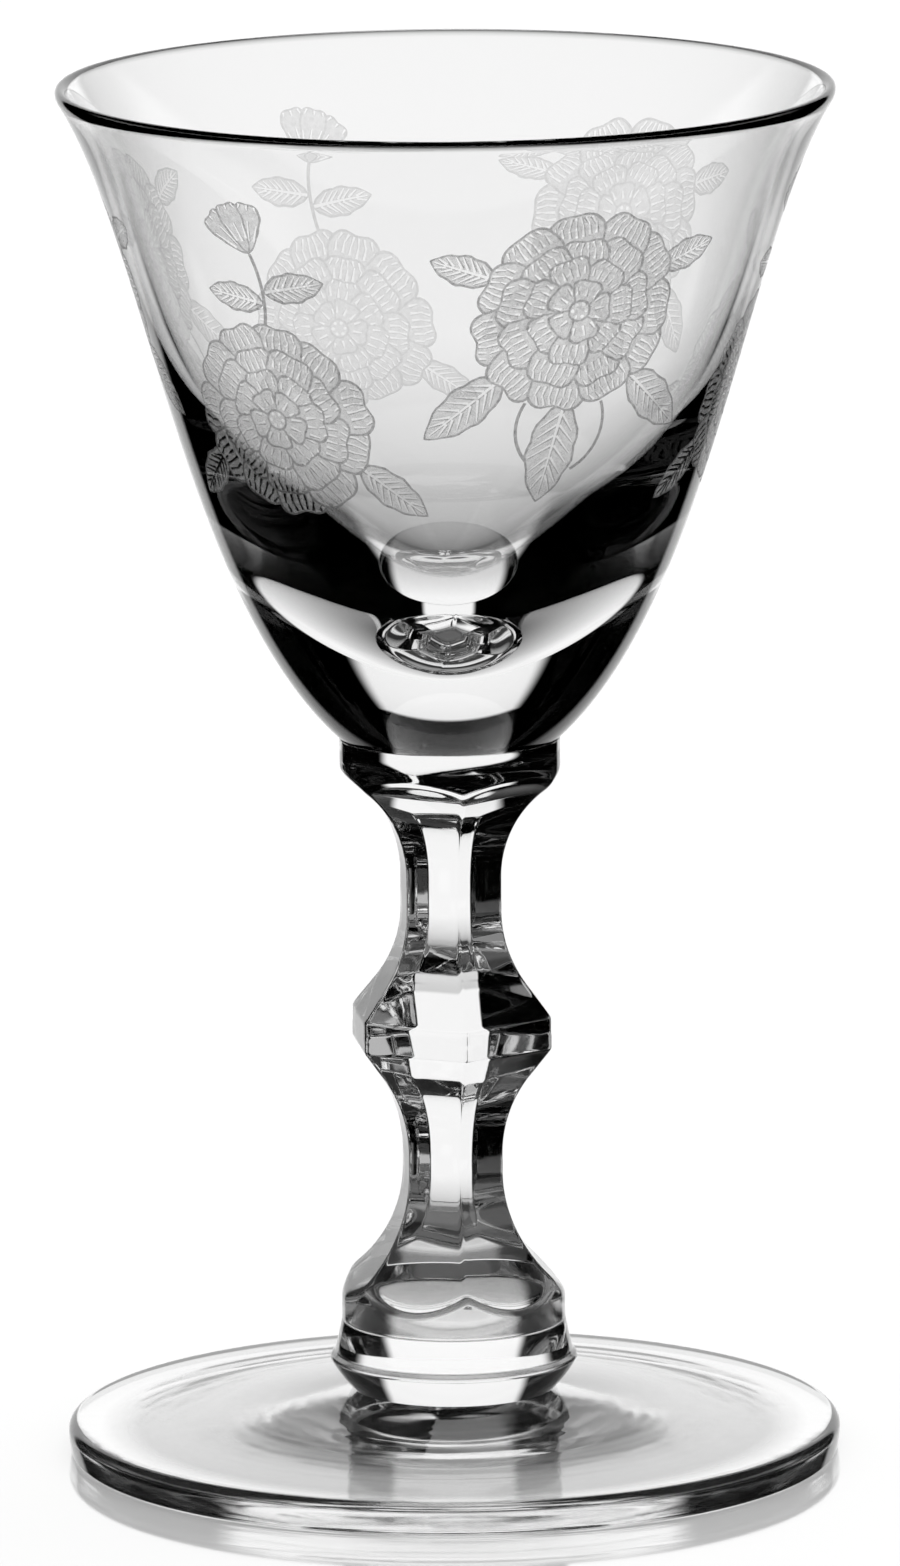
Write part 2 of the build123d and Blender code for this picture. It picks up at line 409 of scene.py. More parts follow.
GLASS_IOR = 1.52
SHADOW_LIGHT = 0.6
SMUDGE_SCALE = 240
SMUDGE_DETAIL = 4
SMUDGE_SPAN = (0.35, 0.75)
SMUDGE_LEAST = 0.4
WAVE_DETAIL = 1.5
FROST_GRAIN_SCALE = 2600
FROST_GRAIN_DETAIL = 3
FROST_GRAIN_SPAN = (0.3, 0.7)
FROST_GRAIN_BUMP = 0.4
FROST_GRAIN_HEIGHT = 0.02 * MM
FROST_DRIFT_SCALE = 190
FROST_DRIFT_DETAIL = 2
FROST_DARKER = 0.75
FROST_LIGHTER = 1.3
FROST_COVER_SPREAD = 0.12
FROST_SEEN_THROUGH = 0.4
FROST_ROUGHNESS = 0.62


def glass_material(name, haze, wave_scale, wave_height):
    """Clear crystal with a faint hand-made waviness, which lets most lamp light through."""
    material, tree, shader = new_material(name)
    shader.inputs["Base Color"].default_value = WHITE
    shader.inputs["Transmission Weight"].default_value = 1.0
    shader.inputs["IOR"].default_value = GLASS_IOR
    smudge = noise(tree, SMUDGE_SCALE, SMUDGE_DETAIL)
    wear = map_range(tree, smudge, *SMUDGE_SPAN, haze * SMUDGE_LEAST, haze)
    tree.links.new(wear, shader.inputs["Roughness"])
    wave = noise(tree, wave_scale, WAVE_DETAIL)
    add_bump(tree, shader, wave, 1.0, wave_height)
    clear = tree.nodes.new("ShaderNodeBsdfTransparent")
    clear.inputs["Color"].default_value = grey(SHADOW_LIGHT)
    path = tree.nodes.new("ShaderNodeLightPath")
    show_mix(tree, path.outputs["Is Shadow Ray"], shader, clear)
    return material


def joint_material(name):
    """The fused face inside the glass, where light passes as if nothing were there."""
    material, tree, shader = new_material(name)
    tree.nodes.remove(shader)
    clear = tree.nodes.new("ShaderNodeBsdfTransparent")
    tree.links.new(clear.outputs[0], tree.nodes["Material Output"].inputs["Surface"])
    return material


def frost_material(name, shade, cover):
    """Glass bitten by acid: a fine grey grain that hides part of what is behind it."""
    material, tree, shader = new_material(name)
    drift = noise(tree, FROST_DRIFT_SCALE, FROST_DRIFT_DETAIL)
    tone = tree.nodes.new("ShaderNodeValToRGB")
    tone.color_ramp.elements[0].color = grey(shade * FROST_DARKER)
    tone.color_ramp.elements[1].color = grey(shade * FROST_LIGHTER)
    tree.links.new(drift, tone.inputs[0])
    tree.links.new(tone.outputs[0], shader.inputs["Base Color"])
    grain = noise(tree, FROST_GRAIN_SCALE, FROST_GRAIN_DETAIL)
    veil = map_range(tree, grain, *FROST_GRAIN_SPAN,
                     cover - FROST_COVER_SPREAD, cover + FROST_COVER_SPREAD)
    side = tree.nodes.new("ShaderNodeNewGeometry")
    from_inside = map_range(tree, side.outputs["Backfacing"], 0, 1, 1.0, FROST_SEEN_THROUGH)
    alpha = node_math(tree, "MULTIPLY", veil, from_inside)
    tree.links.new(alpha, shader.inputs["Alpha"])
    shader.inputs["Roughness"].default_value = FROST_ROUGHNESS
    add_bump(tree, shader, grain, FROST_GRAIN_BUMP, FROST_GRAIN_HEIGHT)
    return material


# Glass by its haze, the scale of its waves and their height, and frost by its shade and cover
BLOWN_GLASS = glass_material("blown_crystal", 0.012, 130, 0.004 * MM)
PRESSED_GLASS = glass_material("pressed_crystal", 0.06, 420, 0.01 * MM)
FOOT_GLASS = glass_material("spread_crystal", 0.05, 260, 0.01 * MM)
WORN_GLASS = glass_material("worn_crystal", 0.11, 260, 0.01 * MM)
FROST = frost_material("etched_frost", 0.32, 0.44)
# Dark frost for the outlines, whose dark tone is painted shade of the etched grooves, and for the
# painted shade beside the scratches
FROST_LINE_AND_PAINTED_SHADE = frost_material("etched_line_and_painted_shade", 0.1, 0.62)
JOINT = joint_material("fused_joint")
CLEAR_SLOT = 0
JOINT_SLOT = 1
WORN_SLOT = 2
FROST_SLOT = 0
LINE_AND_PAINTED_SHADE_SLOT = 1


# Pieces

def ring_waves(r, turn, ripples, sways):
    """The sum of waves that run in rings round the axis and sway in and out."""
    sway = sum(share * math.sin(count * turn + phase) for share, count, phase in sways)
    return sum(share * math.sin(2 * math.pi * r / (length * MM) + phase + sway * lean)
               for share, length, phase, lean in ripples)


def tip_ripple(r, z, turn):
    """Soft rings in the bottom of the cavity, where the tool touched it."""
    if z < BOWL_BOTTOM + TIP_RIPPLE_FLOOR or r > TIP_RIPPLE_REACH:
        return 0.0
    fade = 1 - (r / TIP_RIPPLE_REACH) ** 2
    waves = ring_waves(r, turn, TIP_RIPPLES, TIP_SWAYS)
    return TIP_RIPPLE_HEIGHT * fade * waves * min(1.0, r / TIP_RIPPLE_START)


def make_bowl():
    """A flared wall with a rounded lip round a cavity that ends above a heavy base."""
    outside = bowl_outside(BOWL_OUTSIDE_STEPS)
    lip = bowl_lip(LIP_STEPS)
    inside = bowl_inside(CAVITY_STEPS)
    profile = np.vstack(([[0, BOWL_BOTTOM]], outside, lip[1:], inside[1:]))
    return lathe("bowl_crystal", profile, (BLOWN_GLASS, JOINT),
                 lambda band: JOINT_SLOT if band == 0 else CLEAR_SLOT, sharp=[1], uneven=tip_ripple)


def run_half(away, neck_half, rise, reach_half, angle):
    """Half width of a facet's run at a distance from its neck: a bend, then a straight slope."""
    bend = (rise - (reach_half - neck_half) / math.tan(angle)) / math.tan(angle / 2)
    if away <= bend * math.sin(angle):
        return neck_half + bend - math.sqrt(bend * bend - away * away)
    return neck_half + bend * (1 - math.cos(angle)) + (away - bend * math.sin(angle)) * math.tan(angle)


def facet_half(z):
    """Distance of the facets from the axis at height z above the foot's rest plane."""
    lower_neck = STEM_BOTTOM + LOWER_COLLAR_HEIGHT + LOWER_FLARE_HEIGHT
    lower_neck_top = lower_neck + LOWER_NECK_LENGTH
    knop_bottom = lower_neck_top + LOWER_SHOULDER_HEIGHT
    knop_top = knop_bottom + KNOP_BAND_HEIGHT
    upper_neck = knop_top + UPPER_SHOULDER_HEIGHT
    upper_neck_top = upper_neck + UPPER_NECK_LENGTH
    if z < lower_neck:
        return run_half(lower_neck - z, *LOWER_FLARE)
    if z <= lower_neck_top:
        return LOWER_NECK_HALF
    if z < knop_bottom:
        return run_half(z - lower_neck_top, *LOWER_SHOULDER)
    if z <= knop_top:
        return KNOP_HALF
    if z < upper_neck:
        return run_half(upper_neck - z, *UPPER_SHOULDER)
    if z <= upper_neck_top:
        return UPPER_NECK_HALF
    return run_half(z - upper_neck_top, *UPPER_FLARE)


def soft_min(a, b, k):
    """The smaller of two radii, with the corner between them rounded over k."""
    h = np.clip(0.5 + 0.5 * (b - a) / k, 0, 1)
    return b * (1 - h) + a * h - k * h * (1 - h)


def stem_heights():
    """Ring heights, even along the body and closer together at its rounded ends."""
    lower_end = STEM_BOTTOM + JOINT_EDGE_ROUND + STEM_LOWER_MARGIN
    upper_end = BOWL_BOTTOM - BOWL_JOINT_ROUND - STEM_UPPER_MARGIN
    rises = [1 - math.cos(f * math.pi / 2) for f in np.linspace(0, 1, STEM_ROUND_STEPS + 1)]
    lower = [STEM_BOTTOM + JOINT_EDGE_ROUND * rise for rise in rises]
    upper = [BOWL_BOTTOM - BOWL_JOINT_ROUND * rise for rise in rises[::-1]]
    return lower + list(np.arange(lower_end, upper_end, STEM_RING_GAP)) + upper


def make_stem():
    """Six facets that follow two necks and a knop, cut by a round collar at each end."""
    count = STEM_FACETS * STEM_FACET_STEPS
    turn = 2 * math.pi / STEM_FACETS
    angles = np.arange(count) / count * 2 * math.pi
    off = (angles + turn / 2) % turn - turn / 2
    middle = (STEM_BOTTOM + BOWL_BOTTOM) / 2
    vertices = [(0.0, 0.0, STEM_BOTTOM)]
    rings = [[0]]

    def add_ring(radii, z):
        start = len(vertices)
        vertices.extend((r * math.cos(a), r * math.sin(a), z) for r, a in zip(radii, angles))
        rings.append(list(range(start, start + count)))

    for z in stem_heights():
        half = facet_half(z)
        flat = half / np.cos(off)
        next_flat = half / np.cos(turn - np.abs(off))
        radius = soft_min(flat, next_flat, FACET_EDGE_SOFTNESS)
        if z < middle:
            collar, joint, end = LOWER_COLLAR_RADIUS, JOINT_EDGE_ROUND, z - STEM_BOTTOM
        else:
            collar, joint, end = UPPER_COLLAR_RADIUS, BOWL_JOINT_ROUND, BOWL_BOTTOM - z
        if end < joint:
            collar += math.sqrt(max(joint ** 2 - (joint - end) ** 2, 0)) - joint
        add_ring(soft_min(radius, np.full(count, collar), RUNOUT_EDGE_SOFTNESS), z)
    add_ring(np.full(count, BOWL_SEAT_RADIUS), BOWL_BOTTOM)
    rings.append([len(vertices)])
    vertices.append((0.0, 0.0, BOWL_BOTTOM))
    faces, bands = skinned(rings)
    ends = (0, len(rings) - 2)
    slots = [JOINT_SLOT if band in ends else CLEAR_SLOT for band in bands]
    return mesh_object("stem_crystal", vertices, faces, (PRESSED_GLASS, JOINT), slots)


def make_merese():
    """A button that swells from its seat to a thin flange, then draws in to the stem."""
    flange = (MERESE_FLANGE_RADIUS, MERESE_BOTTOM + MERESE_FLANGE_HEIGHT)
    swell = steered((MERESE_SEAT_RADIUS, MERESE_BOTTOM), MERESE_SEAT_ANGLE, MERESE_SEAT_PULL,
                    flange, MERESE_FLANGE_ANGLE, MERESE_FLANGE_PULL, MERESE_STEPS)
    upper = rounded(
        [swell[-MERESE_TRIM], flange, (MERESE_NECK_RADIUS, MERESE_BOTTOM + MERESE_NECK_HEIGHT),
         (LOWER_COLLAR_RADIUS, STEM_BOTTOM), (0, STEM_BOTTOM)],
        [MERESE_EDGE_ROUND, MERESE_EDGE_ROUND, JOINT_EDGE_ROUND], MERESE_ROUND_STEPS)
    upper.insert(-1, np.array((LOWER_COLLAR_RADIUS - JOINT_EDGE_ROUND, STEM_BOTTOM)))
    profile = [np.array((0, MERESE_BOTTOM))] + list(swell[:-MERESE_TRIM]) + upper
    ends = (0, len(profile) - 2)
    return lathe("merese_crystal", profile, (PRESSED_GLASS, JOINT),
                 lambda band: JOINT_SLOT if band in ends else CLEAR_SLOT, sharp=[1])


def foot_ripple(r, z, turn):
    """Rings left on the foot's upper face by the tool that spread it."""
    if z < FOOT_EDGE_THICKNESS or r < MERESE_SEAT_RADIUS:
        return 0.0
    inward = (FOOT_RADIUS - r) / (FOOT_RADIUS - MERESE_SEAT_RADIUS)
    fade = min(1.0, inward / FOOT_RIPPLE_EDGE) * min(1.0, (r - MERESE_SEAT_RADIUS) / FOOT_RIPPLE_START)
    fade *= 1 + FOOT_RIPPLE_GROWTH * inward ** 2
    return FOOT_RIPPLE_HEIGHT * fade * ring_waves(r, turn, FOOT_RIPPLES, FOOT_SWAYS)


def make_foot():
    """A disc that rises to its seat and stands on a flat ring round a worn hollow."""
    heel = FOOT_RADIUS - FOOT_EDGE_DRAFT
    ring_inside = heel - REST_RING_WIDTH
    curve = (ring_inside ** 2 + FOOT_HOLLOW_DEPTH ** 2) / (2 * FOOT_HOLLOW_DEPTH)
    hollow = [(r, FOOT_HOLLOW_DEPTH - curve + math.sqrt(curve * curve - r * r))
              for r in np.linspace(0, ring_inside, FOOT_HOLLOW_RINGS)]
    slope = steered((FOOT_RADIUS, FOOT_EDGE_THICKNESS), FOOT_RISE_EDGE_ANGLE, FOOT_RISE_EDGE_PULL,
                    (MERESE_SEAT_RADIUS, MERESE_BOTTOM), FOOT_RISE_SEAT_ANGLE, FOOT_RISE_SEAT_PULL,
                    FOOT_RISE_STEPS)
    outside = rounded(
        [(ring_inside, 0), (heel, 0), (FOOT_RADIUS, FOOT_DRAFT_HEIGHT), slope[0], slope[FOOT_TRIM]],
        [FOOT_HEEL_ROUND, 0, FOOT_EDGE_ROUND], FOOT_ROUND_STEPS)
    profile = hollow[:-1] + outside + list(slope[FOOT_TRIM + 1:]) + [(0, MERESE_BOTTOM)]
    seat = len(profile) - 2

    def slot_of(band):
        if band == seat:
            return JOINT_SLOT
        return WORN_SLOT if band < len(hollow) - 1 else CLEAR_SLOT

    return lathe("foot_crystal", profile, (FOOT_GLASS, JOINT, WORN_GLASS), slot_of,
                 sharp=[seat], uneven=foot_ripple)


# Etched garland: shapes are drawn flat, with +x round the bowl and +y up its side

ETCH_LIFT = 0.015 * MM
ETCH_GRID = 0.8 * MM
ETCH_LINE_WIDTH = 0.2 * MM
# The light that the painted shade beside each scratch turns away from
ETCH_LIGHT_FROM = np.array((-0.5, 0.86))
ETCH_SEED = 11
OUTLINE, FIELD, PAINTED_SHADE, STROKE = range(4)

# Scratches: width where they start and where they end, and the painted shade beside each end
PETAL_SCRATCH = (0.22 * MM, 0.09 * MM)
PETAL_TIP_SCRATCH = (0.19 * MM, 0.08 * MM)
LEAF_RIB = (0.27 * MM, 0.1 * MM)
LEAF_VEIN = (0.2 * MM, 0.08 * MM)
SCRATCH_PAINTED_SHADE = (0.11 * MM, 0.06 * MM)

# Blades: the outline is steered by its root, tip and sharpness, then frilled along its sides
BLADE_POINTS = 19
BLADE_MIDDLE = 0.55
FRILL_WAVES = 23
NOTCH_WIDTH = 0.2
NOTCH_POWER = 6
ANY_PHASE = (0, 6)
PETAL_ROOT = 0.62
PETAL_TIP = (6, 9)
PETAL_SHARPNESS = 0.5
PETAL_FRILL = 0.03
PETAL_NOTCH = (0.02, 0.07)
LEAF_ROOT = 0.6
LEAF_TIP = 1.5
LEAF_SHARPNESS = 0.85
LEAF_FRILL = 0.06

# Scratches on a petal, in shares of its length and half width
PETAL_SCRATCH_GAP = 0.68 * MM
PETAL_SCRATCHES_LEAST = 3
PETAL_SCRATCH_SPREAD = 0.74
PETAL_SCRATCH_PINCH = 0.9
PETAL_SCRATCH_START = (-0.02, 0.06)
PETAL_SCRATCH_END = (0.42, 0.66)
PETAL_SCRATCH_DROP = 0.14
PETAL_TIP_LEAST = 3 * MM
PETAL_TIP_START = 0.965
PETAL_TIP_END = 0.88
PETAL_TIP_DROP = 0.05
PETAL_TIP_PINCH = 0.93

# Veins of a leaf, in shares of its length and half width
LEAF_RIB_SPAN = (0.04, 0.93)
LEAF_VEINS = 7
LEAF_VEIN_FIRST = 0.14
LEAF_VEIN_GAP = 0.1
LEAF_VEIN_JITTER = 0.015
LEAF_VEIN_RISE = 0.15
LEAF_VEIN_REACH = (0.68, 0.85)
LEAF_VEIN_OFFSET = 0.13 * MM

# Blossoms: rings of petals from the outermost in, by count, length, width and the share that is covered
BLOSSOM_PAIRS = 3
BLOSSOM_RADIUS = 8.7 * MM
HIGH_BLOSSOM = 93.4 * MM
LOW_BLOSSOM = 84.4 * MM
LOW_BLOSSOM_SIZE = 0.96
GARLAND_TURN = CAMERA_AZIMUTH - math.pi / 2 + math.radians(24)
PETAL_RINGS = ((11, 1.0, 0.56, 0.74), (9, 0.76, 0.5, 0.68), (7, 0.53, 0.4, 0.6), (5, 0.32, 0.3, 0.45))
PETAL_JITTER = 0.05
PETAL_SIZES = (0.94, 1.04)
HEART_SIDES = 16
HEART_SIZE = 0.11
HEART_FIELD = 0.8
HEART_DOTS = 6
HEART_DOT_RING = 0.065
HEART_DOT_SIZE = 0.16

# Leaves and stalks of a motif: angles in degrees, lengths in mm
LEAF_START = 0.86
HIGH_LEAVES = ((-136, 7.6), (-92, 8.6), (-48, 7.6), (24, 5.6), (157, 5.6))
HIGH_LEAF_WIDTH = 0.47
HIGH_LEAF_JITTER = 0.15
HIGH_STALKS = ((-115, 1.5), (-70, -1.5))
HIGH_STALK_START = 0.95
HIGH_STALK_WIDTH = 0.26 * MM
STALK_LENGTH = 6.5 * MM
STALK_STEPS = 14
LOW_STALK_OFFSET = 0.5 * MM
LOW_STALK_START = 0.9
LOW_STALK_ANGLE = math.radians(74)
LOW_STALK_BEND = 0.6
LOW_STALK_WIDTH = 0.3 * MM
LOW_STALK_LEAVES = ((5, 172, 5.4), (7, 12, 5.6))
LOW_STALK_LEAF_WIDTH = 0.46
LOW_LEAVES = (-28, -152)
LOW_LEAF_SIZE = (6.2 * MM, 3 * MM)
LOW_LEAF_LEAN = 0.25
BUD_ANGLE = math.radians(108)
BUD_LEANS = (0.5, -0.5, 0.0)
BUD_SIZE = (4.6 * MM, 2.4 * MM)
BUD_COVERED = 0.25


def placed(points, angle, at):
    """Turns points by an angle and moves them."""
    c, n = math.cos(angle), math.sin(angle)
    return np.asarray(points) @ np.array(((c, n), (-n, c))) + at


def on_circle(angle, radius, share):
    """The point at an angle and a share of a radius."""
    return np.array((math.cos(angle), math.sin(angle))) * radius * share


class Blade:
    """A petal or leaf along +x, with its half width known at each share of its length."""

    def __init__(self, length, width, root, tip, sharpness, frill, phase, notch=0.0):
        self.share = np.sin(np.linspace(0, math.pi / 2, BLADE_POINTS))
        half = self.share ** root * (1 - self.share ** tip) ** sharpness
        frills = 1 + frill * np.sin(phase + FRILL_WAVES * self.share)
        self.half = width / 2 * half / half.max() * frills
        self.length = length
        self.width = width
        self.notch = notch

    def point(self, share, side):
        """The point at a share of the length and a share of the half width to one side."""
        half = np.interp(share, self.share, self.half)
        off_middle = side * half / (NOTCH_WIDTH * self.width)
        dip = self.notch * math.exp(-off_middle ** 2) * share ** NOTCH_POWER
        return self.length * share * (1 - dip), side * half

    def outline(self, margin):
        """The closed outline, drawn in by a margin."""
        shares = self.share
        line = [self.point(t, 1) for t in shares] + [self.point(t, -1) for t in shares[-2:0:-1]]
        middle = np.array((self.length * BLADE_MIDDLE, 0))
        shrink = np.array((1 - margin / (self.length * 0.5), 1 - margin / (self.width * 0.5)))
        return middle + (np.array(line) - middle) * shrink


def stroke(start, end, widths):
    """A tapering scratch and a strip of painted shade on its side away from the light."""
    start, end = np.array(start), np.array(end)
    way = (end - start) / np.linalg.norm(end - start)
    side = np.array((-way[1], way[0]))
    if side @ ETCH_LIGHT_FROM > 0:
        side = -side
    wide = side * widths[0] / 2
    narrow = side * widths[1] / 2
    bright = [start - wide, end - narrow, end + narrow, start + wide]
    start_painted_shade, end_painted_shade = (side * width for width in SCRATCH_PAINTED_SHADE)
    # The dark strip is painted shade along the scratch's side away from the light
    dark = [bright[3], bright[2], bright[2] + end_painted_shade, bright[3] + start_painted_shade]
    return bright, dark


def shape(outline, field, scratches):
    """One etched shape: its polygons by kind, with painted shade beside its scratches."""
    kinds = {OUTLINE: [outline], FIELD: field, PAINTED_SHADE: [], STROKE: []}
    for bright, dark in scratches:
        kinds[STROKE].append(bright)
        kinds[PAINTED_SHADE].append(dark)
    return kinds


def blade_shape(blade, scratches, angle, at):
    """A blade's shape: a line round its field, with its scratches."""
    outline = placed(blade.outline(0), angle, at)
    field = placed(blade.outline(ETCH_LINE_WIDTH), angle, at)
    return shape(outline, [field], scratches)


def petal(chance, length, width, covered, angle, at):
    """A petal that the next ring covers up to a share of its length."""
    tip = chance.uniform(*PETAL_TIP)
    phase = chance.uniform(*ANY_PHASE)
    notch = chance.uniform(*PETAL_NOTCH)
    blade = Blade(length, width, PETAL_ROOT, tip, PETAL_SHARPNESS, PETAL_FRILL, phase, notch)

    def spot(share, side):
        return placed([blade.point(share, side)], angle, at)[0]

    scratches = []
    bare = 1 - covered
    count = max(PETAL_SCRATCHES_LEAST, int(width / PETAL_SCRATCH_GAP))
    for k in range(count):
        side = -PETAL_SCRATCH_SPREAD + 2 * PETAL_SCRATCH_SPREAD * k / (count - 1)
        low = covered + bare * chance.uniform(*PETAL_SCRATCH_START)
        high = covered + bare * (chance.uniform(*PETAL_SCRATCH_END) - PETAL_SCRATCH_DROP * abs(side))
        start = spot(low, side * PETAL_SCRATCH_PINCH)
        scratches.append(stroke(start, spot(high, side), PETAL_SCRATCH))
        if length > PETAL_TIP_LEAST:
            start = spot(PETAL_TIP_START - PETAL_TIP_DROP * side * side, side)
            end = spot(PETAL_TIP_END - PETAL_TIP_DROP * chance.random(), side * PETAL_TIP_PINCH)
            scratches.append(stroke(start, end, PETAL_TIP_SCRATCH))
    return blade_shape(blade, scratches, angle, at)


def leaf(chance, length, width, angle, at):
    """A leaf with a rib along its middle and veins to both sides."""
    phase = chance.uniform(*ANY_PHASE)
    blade = Blade(length, width, LEAF_ROOT, LEAF_TIP, LEAF_SHARPNESS, LEAF_FRILL, phase)
    rib = placed([(length * share, 0) for share in LEAF_RIB_SPAN], angle, at)
    scratches = [stroke(*rib, LEAF_RIB)]
    for k in range(LEAF_VEINS):
        share = LEAF_VEIN_FIRST + LEAF_VEIN_GAP * k + chance.uniform(-LEAF_VEIN_JITTER, LEAF_VEIN_JITTER)
        for side in (1, -1):
            reach = blade.point(share + LEAF_VEIN_RISE, side * chance.uniform(*LEAF_VEIN_REACH))
            vein = placed([(length * share, side * LEAF_VEIN_OFFSET), reach], angle, at)
            scratches.append(stroke(*vein, LEAF_VEIN))
    return blade_shape(blade, scratches, angle, at)


def stalk(points, width):
    """A line of even width along points."""
    points = np.array(points)
    way = np.gradient(points, axis=0)
    way /= np.linalg.norm(way, axis=1)[:, None]
    side = np.stack((-way[:, 1], way[:, 0]), 1) * width / 2
    return shape(np.vstack((points + side, (points - side)[::-1])), [], [])


def bent(start, angle, length, bend):
    """Points on a line that leaves at an angle and turns by bend over its length."""
    angles = angle + bend * np.linspace(0, 1, STALK_STEPS + 1)
    moves = np.stack((np.cos(angles), np.sin(angles)), 1) * length / STALK_STEPS
    return np.array(start) + np.vstack(([(0, 0)], np.cumsum(moves[:-1], axis=0)))


def blossom(chance, radius):
    """Rings of petals round a dotted heart."""
    shapes = []
    for count, length, width, covered in PETAL_RINGS:
        phase = chance.uniform(*ANY_PHASE)
        for k in range(count):
            angle = phase + 2 * math.pi * k / count + chance.uniform(-PETAL_JITTER, PETAL_JITTER)
            size = radius * length * chance.uniform(*PETAL_SIZES)
            shapes.append(petal(chance, size, radius * width, covered, angle, (0, 0)))
    ring = np.linspace(0, 2 * math.pi, HEART_SIDES + 1)[:-1]
    disc = np.stack((np.cos(ring), np.sin(ring)), 1) * radius * HEART_SIZE
    dots = []
    for k in range(HEART_DOTS):
        at = placed([(radius * HEART_DOT_RING, 0)], 2 * math.pi * k / HEART_DOTS, (0, 0))[0]
        dot = list(at + disc * HEART_DOT_SIZE)
        dots.append((dot, dot))
    shapes.append(shape(disc, [disc * HEART_FIELD], dots))
    return shapes


def high_motif(chance):
    """A blossom with three leaves hanging below it and one at each side."""
    r = BLOSSOM_RADIUS
    shapes = []
    for degrees, length in HIGH_LEAVES:
        angle = math.radians(degrees)
        root = on_circle(angle, r, LEAF_START)
        angle += chance.uniform(-HIGH_LEAF_JITTER, HIGH_LEAF_JITTER)
        shapes.append(leaf(chance, length * MM, length * HIGH_LEAF_WIDTH * MM, angle, root))
    for degrees, bend in HIGH_STALKS:
        angle = math.radians(degrees)
        root = on_circle(angle, r, HIGH_STALK_START)
        shapes.insert(0, stalk(bent(root, angle, STALK_LENGTH, bend), HIGH_STALK_WIDTH))
    return shapes + blossom(chance, r)


def low_motif(chance):
    """A blossom under a stalk that carries a bud and two leaves."""
    r = BLOSSOM_RADIUS * LOW_BLOSSOM_SIZE
    root = (LOW_STALK_OFFSET, r * LOW_STALK_START)
    line = bent(root, LOW_STALK_ANGLE, STALK_LENGTH, LOW_STALK_BEND)
    shapes = [stalk(line, LOW_STALK_WIDTH)]
    for step, degrees, length in LOW_STALK_LEAVES:
        width = length * LOW_STALK_LEAF_WIDTH * MM
        shapes.append(leaf(chance, length * MM, width, math.radians(degrees), line[step]))
    for lean in BUD_LEANS:
        shapes.append(petal(chance, *BUD_SIZE, BUD_COVERED, BUD_ANGLE + lean, line[-1]))
    for degrees in LOW_LEAVES:
        angle = math.radians(degrees)
        root = on_circle(angle, r, LEAF_START)
        angle -= math.copysign(LOW_LEAF_LEAN, math.cos(angle))
        shapes.append(leaf(chance, *LOW_LEAF_SIZE, angle, root))
    return shapes + blossom(chance, r)


def facing(polygon):
    """Twice a polygon's area, negative where it runs clockwise."""
    p = np.array(polygon)
    q = np.roll(p, -1, axis=0)
    return float(np.sum(p[:, 0] * q[:, 1] - q[:, 0] * p[:, 1]))


def cut_apart(shapes):
    """Cuts overlapping shapes into triangles. The last shape that covers a place wins it."""
    points = []
    outlines = []
    source = []
    for order, kinds in enumerate(shapes):
        for kind, polygons in kinds.items():
            for polygon in polygons:
                if facing(polygon) < 0:
                    polygon = polygon[::-1]
                outlines.append(list(range(len(points), len(points) + len(polygon))))
                points += [Vector(p) for p in polygon]
                source.append((order, kind))
    low = np.min([tuple(p) for p in points], axis=0)
    high = np.max([tuple(p) for p in points], axis=0)
    for x in np.arange(low[0], high[0], ETCH_GRID):
        points += [Vector((x, y)) for y in np.arange(low[1], high[1], ETCH_GRID)]
    corners, _, triangles, _, _, covers = delaunay_2d_cdt(points, [], outlines, 1, TINY)
    kept = []
    for triangle, cover in zip(triangles, covers):
        owners = [source[i] for i in cover]
        top = max((order for order, kind in owners if kind == OUTLINE), default=None)
        if top is None:
            continue
        kinds = {kind for order, kind in owners if order == top}
        if STROKE in kinds:
            continue
        # Painted shade beside the scratches takes the outlines' dark frost
        kept.append((triangle, FIELD if FIELD in kinds and PAINTED_SHADE not in kinds else OUTLINE))
    return np.array([tuple(c) for c in corners]), kept


def make_etching():
    """The garland and its painted shade, laid just outside the bowl's wall."""
    outside = bowl_outside(MEASURE_STEPS)
    steps = np.linalg.norm(np.diff(outside, axis=0), axis=1)
    up = np.concatenate(([0], np.cumsum(steps)))
    way = np.gradient(outside, axis=0)
    way /= np.linalg.norm(way, axis=1)[:, None]
    lifted = outside + np.stack((way[:, 1], -way[:, 0]), 1) * ETCH_LIFT
    vertices = []
    faces = []
    slots = []
    chance = random.Random(ETCH_SEED)
    for height, motif, shift in ((HIGH_BLOSSOM, high_motif, 0.0), (LOW_BLOSSOM, low_motif, 0.5)):
        corners, kept = cut_apart(motif(chance))
        level = np.interp(height, outside[:, 1], up) + corners[:, 1]
        r = np.interp(level, up, lifted[:, 0])
        z = np.interp(level, up, lifted[:, 1])
        for k in range(BLOSSOM_PAIRS):
            turn = GARLAND_TURN + 2 * math.pi * (k + shift) / BLOSSOM_PAIRS + corners[:, 0] / r
            start = len(vertices)
            vertices += list(zip(r * np.cos(turn), r * np.sin(turn), z))
            faces += [[start + v for v in triangle] for triangle, kind in kept]
            slots += [FROST_SLOT if kind == FIELD else LINE_AND_PAINTED_SHADE_SLOT for triangle, kind in kept]
    used = sorted({v for face in faces for v in face})
    renumber = {v: n for n, v in enumerate(used)}
    faces = [[renumber[v] for v in face] for face in faces]
    return mesh_object("bowl_etching_and_painted_shade", [vertices[v] for v in used], faces, (FROST, FROST_LINE_AND_PAINTED_SHADE), slots)


MAKERS = {"bowl": make_bowl, "stem": make_stem, "merese": make_merese, "foot": make_foot}
for node, make in MAKERS.items():
    piece = make()
    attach(piece, "root")
    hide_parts(node)

